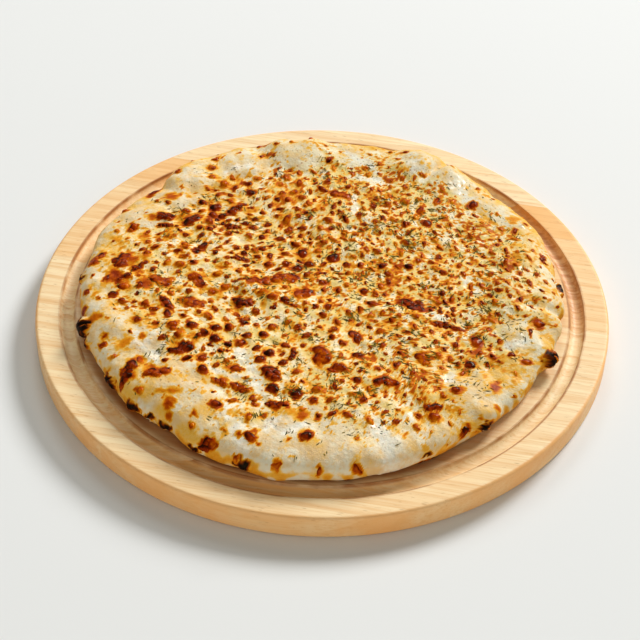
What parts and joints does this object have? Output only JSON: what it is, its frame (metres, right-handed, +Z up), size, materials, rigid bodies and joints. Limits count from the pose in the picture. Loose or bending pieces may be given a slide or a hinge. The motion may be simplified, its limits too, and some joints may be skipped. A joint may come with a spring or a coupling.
{
  "type": "cheese flatbread on a wooden board",
  "caption": "Round leavened flatbread topped with browned melted cheese and dried herbs, resting on a round edge-glued wooden serving board with a juice groove.",
  "frame": {"origin": "centre of the board's underside", "axes": "+Z up, out of the bread's top; +X along the board's staves and wood grain"},
  "size_m": [0.35, 0.35, 0.0384],
  "materials": {
    "baked_cheese_crust": "satin",
    "board_wood": "satin"
  },
  "bodies": {
    "root": {"cheese_flatbread": "baked_cheese_crust", "board_stave_1": "board_wood", "board_stave_2": "board_wood", "board_stave_3": "board_wood", "board_stave_4": "board_wood", "board_stave_5": "board_wood", "board_stave_6": "board_wood"}
  },
  "joints": []
}
